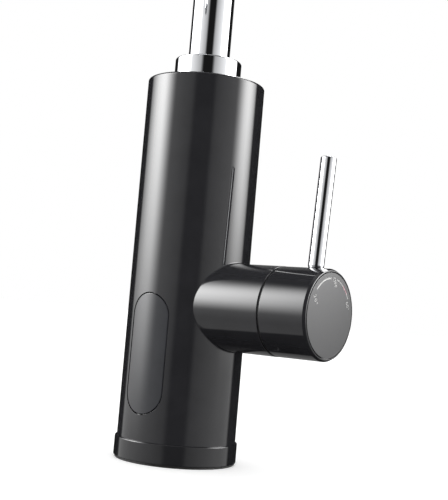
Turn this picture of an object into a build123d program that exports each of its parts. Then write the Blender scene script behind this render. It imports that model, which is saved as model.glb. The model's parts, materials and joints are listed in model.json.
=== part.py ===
from build123d import *

import os
from math import cos, pi, radians, sin, sqrt

# The tap stands on a worktop: the origin is the middle of its base, on the worktop, with
# +Z up, -Y towards the user (display and spout) and +X towards the handle. Millimetres.

# Body shell and base
body_r = 30.0
body_top = 192.5
body_wall = 2.0
top_wall = 2.5
body_edge = 1.3
seam_fillet = 0.7
ring_r = 31.0
ring_top = 10.9
ring_chamfer = 0.5
ledge_r = 25.0
gasket_r = 30.4
gasket_hole_r = 22.0
gasket_top = 1.2
shell_foot = 4.2
deck_top = 8.2

# Handle on its level axis through the boss
boss_z = 78.9
boss_r = 21.75
boss_bore = 20.0
boss_end = 57.8
groove_edge = 0.35
groove_r = 21.0
knob_r = 21.65
knob_start = 58.6
knob_end = 84.7
rim_chamfer = 0.8
dial_r = 19.93
dial_face = 84.4
dial_seat = 82.4
dial_edge = 0.2
dial_gap = 0.27
lever_r = 3.85
lever_x = 73.6
lever_foot = 20.7
lever_tip = 75.25
lever_thread_r = 2.5
handle_rest = 4.2

# Display window, an oval seen square from the front
window_z = 53.25
window_half_w = 11.1
window_half_h = 29.65
window_gap = 0.15
window_sink = 0.1
flange_lap = 2.0
flange_inner_r = 26.0
flange_outer_r = 27.3

# Spout, a half-inch tube bent over the front, and its outlet
pipe_r = 10.65
pipe_bore = 9.65
pipe_start = 200.8
bend_z = 310.0
bend_r = 62.0
pipe_end = 276.0
outlet_y = -2 * bend_r
outlet_z = 262.0
outlet_top = 286.0
outlet_r = 12.0
outlet_lip_z = 263.5
outlet_lip_r = 9.0
insert_r = 9.6
insert_top = 274.2

# Collar and the connector that the spout turns in
collar_r = 17.1
collar_top = 204.6
collar_roof = 202.6
flange_r = 15.9
flange_top = 197.9
socket_floor = 180.5
spigot_r = 7.5
spigot_bore = 5.5
neck_r = 12.5
foot_r = 10.0
foot_z = 172.0

# Water inlet, cable entry and fixing holes in the base plate
inlet_x = -7.0
inlet_r = 12.5
inlet_foot = 1.7
inlet_nut_top = 15.2
thread_r = 9.32
screen_z = 12.0
screen_top = 13.2
screen_r = 8.6
inlet_bore = 5.0
spigot_top = 26.0
inlet_spigot_r = 8.0
gland_x = 12.5
gland_r = 5.8
gland_foot = 1.4
gland_top = 16.0
gland_head_r = 6.5
gland_head_top = 2.9
gland_nut_top = 12.2
cable_r = 4.3
stud_x = 2.0
stud_y = 14.2
stud_r = 3.0

# Boards between the base and the valve
board_t = 1.6
back_board_y = 19.5
front_board_y = -20.5
rail_t = 3.0
rail_foot_top = 10.2

# Flow sensor, on the inlet's axis
sensor_r = 11.0
sensor_foot = 17.6
sensor_bore = 8.5
chamber_floor = 27.0
sensor_top = 44.0
cap_top = 46.0
riser_top = 61.5
riser_r = 7.0
guide_h = 3.0
axle_r = 1.0
rotor_r = 7.6
rotor_hub_r = 2.6
rotor_low = 30.5
rotor_high = 40.5

# Ceramic valve, on the handle's axis
valve_r = 19.5
valve_back = -4.0
valve_floor = 8.0
valve_mouth = 46.0
cartridge_bore = 16.5
cartridge_r = 16.4
cartridge_neck_r = 9.1
seat_x = 9.2
fixed_disc_x = 12.2
moving_disc_x = 16.25
driver_x = 20.25
stem_x = 23.4
shoulder_x = 34.0
nut_end = 42.0
neck_end = 44.0
disc_bore = 13.2
port_r = 4.5
port_offset = 6.9
stem_r = 5.0
square_x = 50.0
square_end = 60.0
square = 7.0
stop_r = 15.2
stop_half_angle = 84.0
lug_half_angle = 12.0
tail_r = 10.9
screw_r = 2.0
screw_start = 48.0
hub_end = 76.0

# Heating chamber, above the valve
manifold_low = 54.0
manifold_top = 104.0
joint_low = 97.0
can_foot = 97.5
can_bottom = 106.0
can_r = 23.5
can_wall = 1.5
can_floor = 108.0
lid_bottom = 170.0
lid_top = 175.0
lid_r = 27.6
lid_neck_r = 13.0
lid_neck_top = 179.0
element_r = 2.75
coil_r = 12.2
coil_pitch = 10.0
coil_low = 113.0
leg_r = 18.3
leg_top = 173.0
bushing_r = 3.8
probe_x = 19.0

# Clearances between moving and fixed pieces
running_gap = 0.08
end_gap = 0.1

FOOT = (Align.CENTER, Align.CENTER, Align.MIN)
BACK = (Align.MIN, Align.CENTER, Align.CENTER)
BOSS_AXIS = Axis((0, 0, boss_z), (1, 0, 0))


# Shapes used by several pieces

def disc(radius, low, high, x=0, y=0):
    """Upright cylinder between two heights."""
    return Pos(x, y, low) * Cylinder(radius, high - low, align=FOOT)


def ring(outer, inner, low, high, x=0, y=0):
    """Upright tube between two heights."""
    return disc(outer, low, high, x, y) - disc(inner, low, high, x, y)


def bar(radius, x0, x1, y=0, dz=0):
    """Cylinder along the handle's axis, off it by y and dz."""
    return Pos(x0, y, boss_z + dz) * Rot(0, 90, 0) * Cylinder(radius, x1 - x0, align=FOOT)


def sleeve(outer, inner, x0, x1):
    """Tube along the handle's axis."""
    return bar(outer, x0, x1) - bar(inner, x0, x1)


def pillar(radius, low, high):
    """Cylinder across the handle's axis, along the lever, by distance from the axis."""
    return Pos(lever_x, 0, boss_z + low) * Cylinder(radius, high - low, align=FOOT)


def block(x0, x1, y0, y1, z0, z1):
    """Box between two corners."""
    size = Box(x1 - x0, y1 - y0, z1 - z0, align=FOOT)
    return Pos((x0 + x1) / 2, (y0 + y1) / 2, z0) * size


def hexagon(across_flats, low, high, x=0, y=0):
    """Upright hexagon with two flats facing along X."""
    face = RegularPolygon(across_flats / 2, 6, major_radius=False, rotation=30)
    return Pos(x, y, low) * extrude(face, high - low)


def turned(*corners):
    """Solid turned about Z from (radius, height) corners."""
    outline = Polyline(*[(r, 0, z) for r, z in corners], close=True)
    return revolve(make_face(outline), Axis.Z)


def turned_on_boss(*corners):
    """Solid turned about the handle's axis from (x, radius) corners."""
    outline = Polyline(*[(x, 0, boss_z + r) for x, r in corners], close=True)
    return revolve(make_face(outline), BOSS_AXIS)


def around(piece, angles):
    """Copies of a piece turned about Z."""
    return [Rot(0, 0, angle) * piece for angle in angles]


def joined(pieces):
    """Separate solids of one kind, kept as one group."""
    return Compound(children=list(pieces))


def without(piece, cutters):
    """Piece with each cutter taken out of it."""
    for cutter in cutters:
        piece -= cutter
    return piece


def turned_to_rest(piece):
    """Handle piece built upright, turned to where the lever rests."""
    return Pos(0, 0, boss_z) * Rot(-handle_rest, 0, 0) * Pos(0, 0, -boss_z) * piece


def o_ring(radius, low, x=0):
    """Seal that fills a groove 1.1 deep and 2 high in a spigot."""
    return ring(radius, radius - 1.1, low, low + 2, x)


def countersunk_screw():
    """Screw that points up from the origin, its head flat on z = 0."""
    shank_r, head_r, head_h, length = 1.25, 2.4, 1.2, 6.5
    return turned((0, 0), (head_r, 0), (shank_r, head_h), (shank_r, length), (0, length))


def pan_screw(shank_r, length, head_r, head_h):
    """Screw that points down from the origin, its head above z = 0."""
    head = disc(head_r, 0, head_h)
    head = fillet(head.edges().sort_by(Axis.Z)[-1], head_h * 0.4)
    return head + disc(shank_r, -length, 0)


def oval(half_w, half_h):
    """Upright oval prism through the front wall, around the window's middle."""
    front, back = -body_r - 1, -15
    face = Plane.XZ * SlotOverall(2 * half_h, 2 * half_w, rotation=90)
    return Pos(0, back, window_z) * extrude(face, back - front)


def window_ring(inner_r, outer_r, lap):
    """Part of an upright tube inside the window's oval, made larger all round by lap."""
    wall = ring(outer_r, inner_r, 0, boss_z + boss_r)
    return wall & oval(window_half_w + lap, window_half_h + lap)


# Body shell, base and display window

def body_shell():
    tower = disc(body_r, shell_foot, body_top) + bar(boss_r, 0, boss_end)
    seam = tower.edges().filter_by(GeomType.BSPLINE)
    tower = fillet(seam, seam_fillet)
    tower = fillet(tower.edges().group_by(Axis.Z)[-1], body_edge)
    mouth = tower.edges().filter_by(GeomType.CIRCLE).group_by(Axis.X)[-1]
    tower = chamfer(mouth, groove_edge)
    tower -= disc(body_r - body_wall, shell_foot, body_top - top_wall)
    tower -= bar(boss_bore, 0, boss_end)
    tower -= disc(neck_r, body_top - top_wall, body_top)
    tower -= oval(window_half_w + window_gap, window_half_h + window_gap)
    return without(tower, wall_screws())


def base_ring():
    band = ring(ring_r, body_r, shell_foot, ring_top) + ring(ring_r, ledge_r, gasket_top, shell_foot)
    top_edges = band.edges().group_by(Axis.Z)[-1]
    band = chamfer(top_edges.sort_by(SortBy.RADIUS)[-1], ring_chamfer)
    return without(band, deck_screws())


def base_gasket():
    return ring(gasket_r, gasket_hole_r, 0, gasket_top)


def base_plate():
    plate = disc(body_r - body_wall - end_gap, shell_foot, deck_top)
    plate += disc(ledge_r - end_gap, gasket_top, shell_foot)
    plate -= disc(inlet_r, gasket_top, deck_top, inlet_x)
    plate -= disc(gland_r, gasket_top, deck_top, gland_x)
    plate -= disc(gland_head_r, gasket_top, gland_head_top, gland_x)
    for side in (-1, 1):
        plate -= disc(stud_r, gasket_top, deck_top - 1, stud_x, side * stud_y)
    return without(plate, deck_screws() + wall_screws())


def deck_screws():
    circle_r = 26.4
    upright = Pos(circle_r, 0, gasket_top) * countersunk_screw()
    return around(upright, (30, 150, 270))


def wall_screws():
    head_x, height = body_r - 0.15, 6.8
    level = Pos(head_x, 0, height) * Rot(0, -90, 0) * countersunk_screw()
    return around(level, (90, 210, 330))


def base_screws():
    return joined(deck_screws() + wall_screws())


def display_window():
    face = window_ring(flange_outer_r - 0.3, body_r - window_sink, -window_gap)
    return face + window_ring(flange_inner_r, flange_outer_r, flange_lap)


def window_gasket():
    seal = window_ring(flange_outer_r, body_r - body_wall, flange_lap)
    return seal - oval(window_half_w + window_gap, window_half_h + window_gap)


# Water inlet and cable entry

def inlet_connector():
    across_flats = 25
    body = hexagon(across_flats, deck_top, inlet_nut_top, inlet_x)
    body += disc(inlet_r, inlet_foot, deck_top, inlet_x)
    body += disc(inlet_spigot_r, inlet_nut_top, spigot_top, inlet_x)
    body -= disc(thread_r, inlet_foot, screen_z, inlet_x)
    body -= disc(screen_r, screen_z, screen_top, inlet_x)
    body -= disc(inlet_bore, screen_top, spigot_top, inlet_x)
    return body - inlet_o_ring()


def inlet_screen():
    screen = disc(screen_r, screen_z, screen_top, inlet_x)
    hole_r, step_x, step_y, reach = 0.8, 2.2, 1.9, 6.7
    for row in range(-3, 4):
        for column in range(-3, 4):
            x = step_x * (column + 0.5 * (row % 2))
            y = step_y * row
            if sqrt(x * x + y * y) < reach:
                screen -= disc(hole_r, screen_z, screen_top, inlet_x + x, y)
    return screen


def inlet_o_ring():
    return o_ring(inlet_spigot_r, 20, inlet_x)


def riser_o_ring():
    return o_ring(riser_r, 57, inlet_x)


def chamber_o_ring():
    return o_ring(riser_r, 100, inlet_x)


def water_seals():
    return joined([inlet_o_ring(), riser_o_ring(), chamber_o_ring()])


def cable_gland():
    body = disc(gland_r, gland_foot, gland_top, gland_x)
    body += disc(gland_head_r, gland_foot, gland_head_top, gland_x)
    return body - disc(cable_r, gland_foot, gland_top, gland_x)


def gland_nut():
    across_flats = 13
    nut = hexagon(across_flats, deck_top, gland_nut_top, gland_x)
    return nut - disc(gland_r, deck_top, gland_nut_top, gland_x)


def terminal_block():
    inner_x, outer_x, half_w, top = 19.6, 26, 9, 20
    body = block(inner_x, outer_x, -half_w, half_w, deck_top, top)
    screw_hole_r, wire_hole_r, spacing, depth = 1.6, 1.5, 6, 3
    for y in (-spacing, 0, spacing):
        body -= disc(screw_hole_r, top - depth, top, (inner_x + outer_x) / 2, y)
        body -= Pos(inner_x, y, 11) * Rot(0, 90, 0) * Cylinder(wire_hole_r, depth, align=FOOT)
    return body


# Display and control boards

def display_board():
    board = block(-12, 12, front_board_y, front_board_y + board_t, 25, 58)
    return board - joined(board_screw_list())


def display_module():
    half_w, depth, low, high = 8.4, 4, 43, 57
    screen = block(-half_w, half_w, front_board_y - depth, front_board_y, low, high)
    return chamfer(screen.edges().filter_by(Axis.Y), 0.6)


def control_board():
    board = block(-15, 15, back_board_y, back_board_y + board_t, 12, 56)
    return board - joined(board_screw_list())


def rail_frame(half_w, rail_w, y, top):
    """Two upright rails on one foot, which carry a board on one side."""
    frame = block(-half_w, half_w, y, y + rail_t, deck_top, rail_foot_top)
    for x in (-half_w, half_w - rail_w):
        frame += block(x, x + rail_w, y, y + rail_t, rail_foot_top, top)
    return frame - joined(board_screw_list())


def board_frame():
    back = rail_frame(15, 3.5, back_board_y - rail_t, 56)
    front = rail_frame(13, 3.5, front_board_y + board_t, 58)
    return joined([back, front])


def board_screw_list():
    screw = pan_screw(shank_r=1.0, length=3.6, head_r=1.9, head_h=1.4)
    back_x, back_y = 13.2, back_board_y + board_t
    front_x, front_y = 11.2, front_board_y
    back = [Pos(x, back_y, z) * Rot(-90, 0, 0) * screw for x in (-back_x, back_x) for z in (16, 52)]
    front = [Pos(x, front_y, z) * Rot(90, 0, 0) * screw for x in (-front_x, front_x) for z in (29, 54)]
    return back + front


def board_screws():
    return joined(board_screw_list())


def relay():
    half_w, depth, low, high = 6, 5.8, 31, 47
    face_y = back_board_y + board_t
    box = block(-half_w, half_w, face_y, face_y + depth, low, high)
    return chamfer(box.edges().filter_by(Axis.Y), 0.4)


def triac():
    x0, x1, y0 = -11.3, -1.3, 14.5
    case_t, tab_t, case_low, case_high, tab_high = 4.2, 1.3, 20, 29, 35
    case = block(x0, x1, y0, y0 + case_t, case_low, case_high)
    tab = block(x0, x1, y0, y0 + tab_t, case_high, tab_high)
    hole = Pos((x0 + x1) / 2, y0, (case_high + tab_high) / 2) * Rot(90, 0, 0) * Cylinder(1.8, 4)
    return case + tab - hole


def heat_sink():
    half_w, plate_y, plate_end, foot_top, top = 9, 12.2, 14.5, 17.4, 40
    foot = block(inlet_x - half_w, inlet_x + half_w, 0, plate_end, inlet_nut_top, foot_top)
    foot += disc(10.5, inlet_nut_top, foot_top, inlet_x)
    plate = block(inlet_x - half_w, inlet_x + half_w, plate_y, plate_end, foot_top, top)
    return foot + plate - disc(inlet_spigot_r, inlet_nut_top, foot_top, inlet_x)


# Flow sensor

def flow_housing():
    body = disc(sensor_r, sensor_foot, sensor_top, inlet_x)
    body -= disc(inlet_spigot_r, sensor_foot, spigot_top, inlet_x)
    body -= disc(inlet_bore, spigot_top, chamber_floor, inlet_x)
    return body - disc(sensor_bore, chamber_floor, sensor_top, inlet_x)


def flow_cap():
    body = disc(sensor_r, sensor_top, cap_top, inlet_x) + disc(riser_r, cap_top, riser_top, inlet_x)
    return body - disc(port_r, sensor_top, riser_top, inlet_x) - riser_o_ring()


def turbine_guide(low):
    """Three-armed guide that holds one end of the turbine's axle."""
    rim_inner, hub_r, arm_w = 7.2, 2.2, 0.9
    high = low + guide_h
    guide = ring(sensor_bore, rim_inner, low, high) + disc(hub_r, low, high)
    arm = block(hub_r - 0.7, rim_inner + 0.4, -arm_w / 2, arm_w / 2, low, high)
    for copy in around(arm, (0, 120, 240)):
        guide += copy
    return Pos(inlet_x, 0, 0) * (guide - disc(axle_r, low, high))


def turbine_guides():
    return joined([turbine_guide(chamber_floor), turbine_guide(sensor_top - guide_h)])


def turbine_axle():
    inset = 0.5
    return disc(axle_r, chamber_floor + inset, sensor_top - inset, inlet_x)


def flow_turbine():
    blade_len, blade_t, blade_h, pitch_angle = 5.4, 0.9, 7.4, 32
    blade = Pos(rotor_hub_r + 2.3, 0, (rotor_low + rotor_high) / 2) * Rot(pitch_angle, 0, 0)
    blade = blade * Box(blade_len, blade_t, blade_h)
    rotor = disc(rotor_hub_r, rotor_low, rotor_high)
    for copy in around(blade, range(0, 360, 60)):
        rotor += copy
    rotor &= disc(rotor_r, rotor_low, rotor_high)
    return Pos(inlet_x, 0, 0) * (rotor - disc(axle_r + running_gap, rotor_low, rotor_high))


def flow_pickup():
    return block(inlet_x - 3, inlet_x + 3, -14.5, -sensor_r - end_gap, 31, 40)


# Ceramic valve

def with_ports(piece, radius, x0, x1):
    """Piece with the two water ports cut through between two planes."""
    for side in (-1, 1):
        piece -= bar(radius, x0, x1, dz=side * port_offset)
    return piece


def valve_body():
    body = bar(valve_r, valve_back, valve_mouth)
    body += block(-15, 2, -sensor_r, sensor_r, manifold_low, manifold_top)
    body -= bar(cartridge_bore, valve_floor, valve_mouth)
    body -= disc(riser_r, manifold_low, riser_top + 0.5, inlet_x)
    body -= disc(port_r, riser_top, boss_z - port_offset, inlet_x)
    body -= disc(riser_r, joint_low, manifold_top, inlet_x)
    body -= disc(port_r, boss_z + port_offset, joint_low, inlet_x)
    for side in (-1, 1):
        body -= Pos(inlet_x, 0, boss_z + side * port_offset) * Sphere(port_r)
    return with_ports(body, port_r, inlet_x, valve_floor)


def cartridge_seal():
    return with_ports(bar(cartridge_bore - 1, valve_floor, seat_x), port_r, valve_floor, seat_x)


def stop_sector(radius, half_angle, x0, x1):
    """Wedge of a disc on the handle's axis, centred on straight up."""
    steps, reach = 12, 1.6 * radius
    angles = [radians(half_angle * (2 * step / steps - 1)) for step in range(steps + 1)]
    rim = [(x0, reach * sin(a), boss_z + reach * cos(a)) for a in angles]
    face = make_face(Polyline((x0, 0, boss_z), *rim, close=True))
    return extrude(face, x1 - x0, dir=(1, 0, 0)) & bar(radius, x0, x1)


def cartridge_body():
    case = bar(cartridge_r, seat_x, shoulder_x) + bar(cartridge_neck_r, shoulder_x, neck_end)
    case -= bar(disc_bore, fixed_disc_x, stem_x + 0.6)
    case -= bar(stem_r + 0.05, stem_x, neck_end)
    case -= stop_sector(stop_r, stop_half_angle, driver_x - 0.05, stem_x + 0.2)
    return with_ports(case, port_r, seat_x, fixed_disc_x)


def fixed_disc():
    disc_end = moving_disc_x - 0.05
    plate = bar(disc_bore - end_gap, fixed_disc_x, disc_end)
    return with_ports(plate, port_r - 0.4, fixed_disc_x, disc_end)


def cartridge_nut():
    nut = sleeve(cartridge_bore - 0.05, cartridge_neck_r + end_gap, shoulder_x, nut_end)
    slot = Box(2, 40, 3)
    for angle in (0, 90):
        nut -= Pos(nut_end - 1, 0, boss_z) * Rot(angle, 0, 0) * slot
    return nut


def moving_disc():
    channel_len, channel_w, channel_depth = 22, 8.4, 2
    plate = bar(disc_bore - 0.6, moving_disc_x, driver_x)
    channel = extrude(SlotOverall(channel_len, channel_w, rotation=90), channel_depth)
    return turned_to_rest(plate - Pos(moving_disc_x, 0, boss_z) * Rot(0, 90, 0) * channel)


def drive_square():
    return Pos(square_x, 0, boss_z) * Box(square_end - square_x, square, square, align=BACK)


def spindle():
    driver_r = 12.4
    stem = bar(driver_r, driver_x, stem_x) + bar(stem_r, stem_x, square_x) + drive_square()
    lug = stop_sector(stop_r - 0.3, lug_half_angle, driver_x + end_gap, stem_x)
    stem += lug - bar(driver_r - 0.4, driver_x, stem_x)
    stem -= bar(screw_r, screw_start, square_end)
    return turned_to_rest(stem - spindle_seal())


def spindle_seal():
    groove_x = 29
    return sleeve(stem_r, stem_r - 1.1, groove_x, groove_x + 2)


# Handle

def handle_bush():
    bush = sleeve(boss_bore - 0.05, tail_r + running_gap, valve_mouth, boss_end)
    bush += sleeve(groove_r, tail_r + 0.3, boss_end, knob_start - end_gap)
    return bush - position_sensor()


def position_sensor():
    return block(53.2, boss_end, 12.8, 17.2, boss_z - 3, boss_z + 3)


def knob_shell():
    """Cup with a flat web at the boss side, a hub behind it and a rim round the dial."""
    web_end, hub_r, wall = 62, 8, 2.4
    outline = [
        (knob_start, 0), (knob_start, knob_r - groove_edge), (knob_start + groove_edge, knob_r),
        (knob_end - rim_chamfer, knob_r), (knob_end, knob_r - rim_chamfer),
        (knob_end, dial_r + 2 * dial_gap), (knob_end - dial_gap, dial_r + dial_gap),
        (dial_seat, dial_r + dial_gap), (dial_seat, knob_r - wall),
        (web_end, knob_r - wall), (web_end, hub_r), (hub_end, hub_r), (hub_end, 0),
    ]
    return turned_on_boss(*outline) + bar(tail_r, square_x, knob_start)


def knob():
    lever_boss_r, lever_hole_low = 5.5, 9
    lever_boss = pillar(lever_boss_r, 5, knob_r) & bar(knob_r - 1, 60, 82)
    body = knob_shell() + lever_boss - drive_square()
    body -= bar(screw_r + end_gap, square_end, hub_end)
    body -= pillar(lever_thread_r, lever_hole_low, knob_r)
    body -= pillar(lever_r + 0.35, lever_foot, knob_r + 1)
    return turned_to_rest(body - upright_magnet())


def upright_magnet():
    """Disc magnet that meets the position sensor at the hot end of the travel."""
    off_axis, lead = 15, radians(20)
    return bar(2.0, knob_start, 61.5, y=off_axis * sin(lead), dz=off_axis * cos(lead))


def knob_magnet():
    return turned_to_rest(upright_magnet())


def knob_dial():
    return turned_on_boss(
        (dial_seat, 0), (dial_seat, dial_r), (dial_face - dial_edge, dial_r),
        (dial_face, dial_r - dial_edge), (dial_face, 0),
    )


def lever():
    thread_low, foot_edge, tip_edge = 9.5, 0.5, 0.6
    rod = turned(
        (0, thread_low), (lever_thread_r, thread_low), (lever_thread_r, lever_foot),
        (lever_r - foot_edge, lever_foot), (lever_r, lever_foot + foot_edge),
        (lever_r, lever_tip - tip_edge), (lever_r - tip_edge, lever_tip), (0, lever_tip),
    )
    return turned_to_rest(Pos(lever_x, 0, boss_z) * rod)


def knob_screw():
    head_r, head_end, key = 3.6, 78.6, 1.5
    screw = bar(screw_r, screw_start, hub_end) + bar(head_r, hub_end, head_end)
    socket = extrude(RegularPolygon(key, 6), 3)
    return screw - Pos(head_end - 1.4, 0, boss_z) * Rot(0, 90, 0) * socket


# Heating chamber

def chamber_can():
    can = disc(can_r, can_bottom, lid_bottom) + disc(lid_r, lid_bottom - 3, lid_bottom)
    can -= disc(can_r - can_wall, can_floor, lid_bottom)
    can += disc(riser_r, can_foot, can_bottom, inlet_x)
    can -= disc(port_r, can_foot, can_floor, inlet_x)
    return without(can - chamber_o_ring(), chamber_screw_list())


def chamber_lid():
    outlet_bore, probe_bore = 6.0, 2.5
    lid = disc(lid_r, lid_bottom, lid_top) + disc(lid_neck_r, lid_top, lid_neck_top)
    lid -= disc(outlet_bore, lid_bottom, foot_z) + disc(foot_r, foot_z, lid_neck_top)
    lid -= chamber_seal()
    for side in (-1, 1):
        lid -= disc(bushing_r, lid_bottom, lid_top, 0, side * leg_r)
    lid -= disc(probe_bore, lid_bottom, lid_top, probe_x)
    return without(lid, chamber_screw_list())


def chamber_seal():
    return ring(24.0, 22.3, lid_bottom, lid_bottom + 1)


def chamber_screw_list():
    screw = pan_screw(shank_r=1.1, length=8, head_r=2.0, head_h=1.5)
    return around(Pos(25.6, 0, lid_top) * screw, range(30, 390, 60))


def chamber_screws():
    return joined(chamber_screw_list())


def coil_stop(angle, height):
    """Point and direction of the heating coil at one angle of its helix."""
    turn = radians(angle)
    rise = coil_pitch / (2 * pi * coil_r)
    return (coil_r * cos(turn), coil_r * sin(turn), height), (-sin(turn), cos(turn), rise)


def biarc(start, start_way, end, end_way):
    """Two arcs that leave one point and reach another along given directions."""
    a, b = Vector(*start), Vector(*end)
    ta, tb = Vector(*start_way).normalized(), Vector(*end_way).normalized()
    gap, both = b - a, ta + tb
    spread, along = 4 - both.dot(both), gap.dot(both)
    reach = (sqrt(along ** 2 + spread * gap.dot(gap)) - along) / spread
    middle = (a + ta * reach + b - tb * reach) * 0.5
    first = TangentArc(a, middle, tangent=ta)
    return [first, TangentArc(middle, b, tangent=first % 1)]


def heating_element():
    """Tube that comes down one leg, winds up a coil and leaves by the other leg."""
    first_angle, quarter_turns, down_leg_z, up_leg_z = 150, 17, 124, 166
    down, up = (0, 0, -1), (0, 0, 1)
    coil = [
        coil_stop(first_angle + 90 * n, coil_low + coil_pitch * n / 4) for n in range(quarter_turns)
    ]
    stops = [((0, leg_r, down_leg_z), down)] + coil + [((0, -leg_r, up_leg_z), up)]
    route = [Line((0, leg_r, leg_top), (0, leg_r, down_leg_z))]
    for (a, a_way), (b, b_way) in zip(stops, stops[1:]):
        route += biarc(a, a_way, b, b_way)
    route.append(Line((0, -leg_r, up_leg_z), (0, -leg_r, leg_top)))
    section = Plane(origin=(0, leg_r, leg_top), z_dir=down) * Circle(element_r)
    return sweep(section, path=Wire(route))


def element_terminals():
    bushing_top, pin_r, pin_top = 178, 1.5, 183
    group = []
    for side in (-1, 1):
        y = side * leg_r
        bushing = disc(bushing_r, lid_bottom, bushing_top, 0, y) - disc(element_r, lid_bottom, leg_top, 0, y)
        group.append(bushing + disc(pin_r, bushing_top, pin_top, 0, y))
    return joined(group)


def thermal_cutout():
    case_x, case_r, case_top, tab_top = -19.5, 6.0, 180, 184
    case = disc(case_r, lid_top, case_top, case_x)
    for y in (-3.4, 3.4):
        case += block(case_x - 0.6, case_x + 0.6, y - 1.6, y + 1.6, case_top, tab_top)
    return case


def temperature_probe():
    head = hexagon(8, lid_top, 179, probe_x)
    return head + disc(2.5, lid_bottom, lid_top, probe_x) + disc(2.0, 150, lid_bottom, probe_x)


# Outlet and spout

def outlet_connector():
    body = disc(foot_r, foot_z, lid_neck_top) + disc(neck_r, lid_neck_top, body_top)
    body += disc(flange_r, body_top, flange_top)
    body -= disc(6.0, foot_z, socket_floor)
    return body - disc(spigot_r + running_gap, socket_floor, flange_top)


def outlet_locknut():
    across_flats, nut_low = 32, 184.8
    nut = hexagon(across_flats, nut_low, body_top - top_wall)
    return nut - disc(neck_r, nut_low, body_top - top_wall)


def collar():
    cap = disc(collar_r, body_top, collar_top)
    cap = fillet(cap.edges().sort_by(Axis.Z)[-1], 1.0)
    cap -= disc(flange_r, body_top, collar_roof)
    return cap - disc(pipe_r + end_gap, collar_roof, collar_top)


def spout_washer():
    return ring(flange_r, pipe_r + end_gap, pipe_start + end_gap, collar_roof)


def spout_nipple():
    shoulder_r, plug_top = 12.5, 210
    body = turned(
        (spigot_bore, 181), (spigot_r, 181), (spigot_r, flange_top + end_gap),
        (shoulder_r, flange_top + end_gap), (shoulder_r, pipe_start), (pipe_bore, pipe_start),
        (pipe_bore, plug_top), (spigot_bore, plug_top),
    )
    return without(body, spout_seal_list())


def spout_seal_list():
    return [o_ring(spigot_r, low) for low in (184, 190)]


def spout_seals():
    return joined(spout_seal_list())


def spout_pipe():
    top = (0, -bend_r, bend_z + bend_r)
    rise = Line((0, 0, pipe_start), (0, 0, bend_z))
    over = ThreePointArc((0, 0, bend_z), top, (0, outlet_y, bend_z))
    drop = Line((0, outlet_y, bend_z), (0, outlet_y, pipe_end))
    section = Plane((0, 0, pipe_start)) * (Circle(pipe_r) - Circle(pipe_bore))
    return sweep(section, path=Wire([rise, over, drop]))


def aerator_housing():
    body = disc(outlet_r, outlet_z, outlet_top, 0, outlet_y)
    body = fillet(body.edges().filter_by(GeomType.CIRCLE), 0.6)
    body -= disc(outlet_lip_r, outlet_z, outlet_lip_z, 0, outlet_y)
    body -= disc(insert_r, outlet_lip_z, pipe_end, 0, outlet_y)
    return body - disc(pipe_r, pipe_end, outlet_top, 0, outlet_y)


def aerator_insert():
    floor_top, cup_r, jet_r = 266, 7.4, 0.7
    insert = disc(insert_r, outlet_lip_z, insert_top, 0, outlet_y)
    insert -= disc(cup_r, floor_top, insert_top, 0, outlet_y)
    for circle_r, count in ((0, 1), (2.3, 6), (4.6, 12), (6.6, 18)):
        for n in range(count):
            turn = 2 * pi * n / count
            x, y = circle_r * cos(turn), outlet_y + circle_r * sin(turn)
            insert -= disc(jet_r, outlet_lip_z, floor_top, x, y)
    return insert


def aerator_washer():
    return ring(insert_r, 7.0, insert_top, pipe_end, 0, outlet_y)


PIECES = [
    body_shell, base_ring, base_gasket, base_plate, base_screws, display_window, window_gasket,
    inlet_connector, inlet_screen, water_seals, cable_gland, gland_nut, terminal_block,
    display_board, display_module, control_board, board_frame, board_screws, relay, triac,
    heat_sink, flow_housing, flow_cap, turbine_guides, turbine_axle, flow_turbine, flow_pickup,
    valve_body, cartridge_seal, cartridge_body, fixed_disc, cartridge_nut, moving_disc, spindle,
    spindle_seal, handle_bush, position_sensor, knob, knob_magnet, knob_dial, lever, knob_screw,
    chamber_can, chamber_lid, chamber_seal, chamber_screws, heating_element, element_terminals,
    thermal_cutout, temperature_probe, outlet_connector, outlet_locknut, collar, spout_washer,
    spout_nipple, spout_seals, spout_pipe, aerator_housing, aerator_insert, aerator_washer,
]

os.makedirs("parts", exist_ok=True)
for piece in PIECES:
    export_step(piece(), f"parts/{piece.__name__}.step")
print(len(PIECES), "pieces written")
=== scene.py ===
# %% [markdown]
# # A tap that heats its own water
#
# The tap is a black lacquered tower with a side handle, a chrome lever and a chrome spout.
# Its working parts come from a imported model, one mesh for each piece, already at real size.
# This lesson dresses that model. It first loads it as a fixed frame, because every piece
# made later takes its place from the frame instead of being fitted by eye.

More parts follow.
